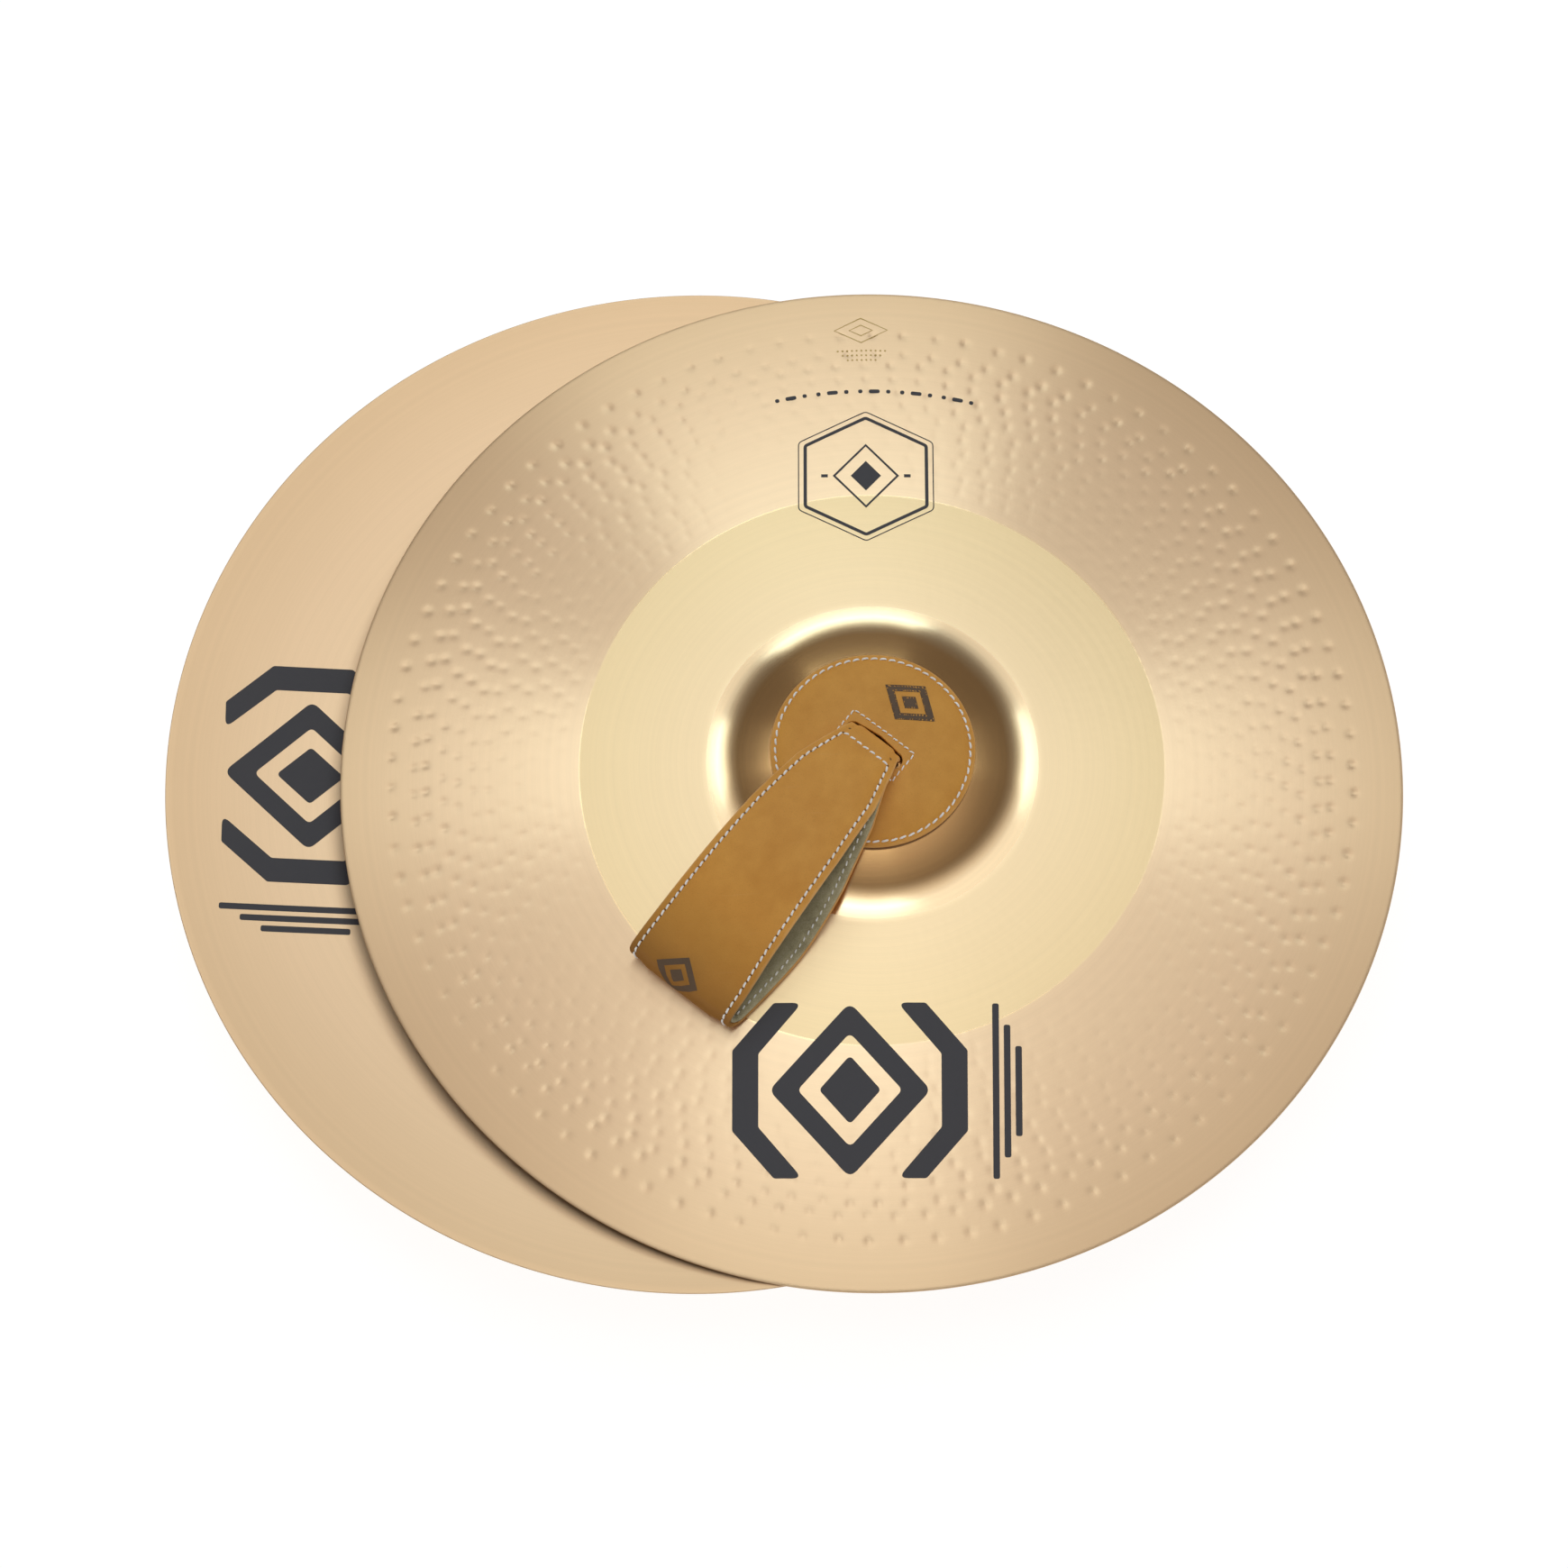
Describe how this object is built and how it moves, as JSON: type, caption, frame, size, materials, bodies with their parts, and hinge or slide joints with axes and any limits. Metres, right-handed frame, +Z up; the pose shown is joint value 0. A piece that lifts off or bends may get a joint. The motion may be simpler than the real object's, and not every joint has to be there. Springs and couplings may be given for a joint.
{
  "type": "hand cymbals",
  "caption": "Pair of marching hand cymbals closed rim to rim, each with a round leather pad and a stitched leather hand strap knotted through its bell.",
  "frame": {"origin": "on the floor, midway between the two cymbals' axes", "axes": "+Z up, +X from the rear cymbal's axis to the front cymbal's axis, +Y to the far side"},
  "size_m": [0.5326, 0.4572, 0.1175],
  "materials": {
    "bronze": "lathed and hammered cast bell bronze, clear and bright",
    "leather": "smooth tan saddle leather",
    "suede": "grey-green suede",
    "felt": "pressed wool felt",
    "thread": "waxed white thread"
  },
  "bodies": {
    "rear_cymbal": {"rear_cymbal": "bronze"},
    "rear_handle": {"rear_pad_base_leather": "leather", "rear_pad_felt": "felt", "rear_pad_top_leather": "leather", "rear_pad_edge_thread": "thread", "rear_pad_slot_thread": "thread", "rear_strap_outer": "leather", "rear_strap_lining": "suede", "rear_strap_top_thread": "thread", "rear_strap_bobbin_thread": "thread", "rear_strap_tails": "leather", "rear_knot": "leather"},
    "front_cymbal": {"front_cymbal": "bronze"},
    "front_handle": {"front_pad_base_leather": "leather", "front_pad_felt": "felt", "front_pad_top_leather": "leather", "front_pad_edge_thread": "thread", "front_pad_slot_thread": "thread", "front_strap_tails": "leather", "front_knot": "leather"},
    "front_strap": {"front_strap_outer": "leather", "front_strap_lining": "suede", "front_strap_top_thread": "thread", "front_strap_bobbin_thread": "thread"}
  },
  "joints": [
    {"name": "rear_handle_swivel", "type": "hinge", "parent": "rear_cymbal", "child": "rear_handle", "pos_m": [-0.0377, 0, 0.0254], "axis": [0, 0, 1], "continuous": true},
    {"name": "front_lift", "type": "slide", "parent": "rear_cymbal", "child": "front_cymbal", "axis": [0, 0, 1], "range_m": [0, 0.3]},
    {"name": "front_handle_swivel", "type": "hinge", "parent": "front_cymbal", "child": "front_handle", "pos_m": [0.0377, 0, 0.1004], "axis": [0, 0, 1], "continuous": true},
    {"name": "front_strap_swing", "type": "hinge", "parent": "front_handle", "child": "front_strap", "pos_m": [0.0377, 0, 0.10865], "axis": [-0.7804, 0.6252, 0], "range_deg": [0, 165]}
  ]
}
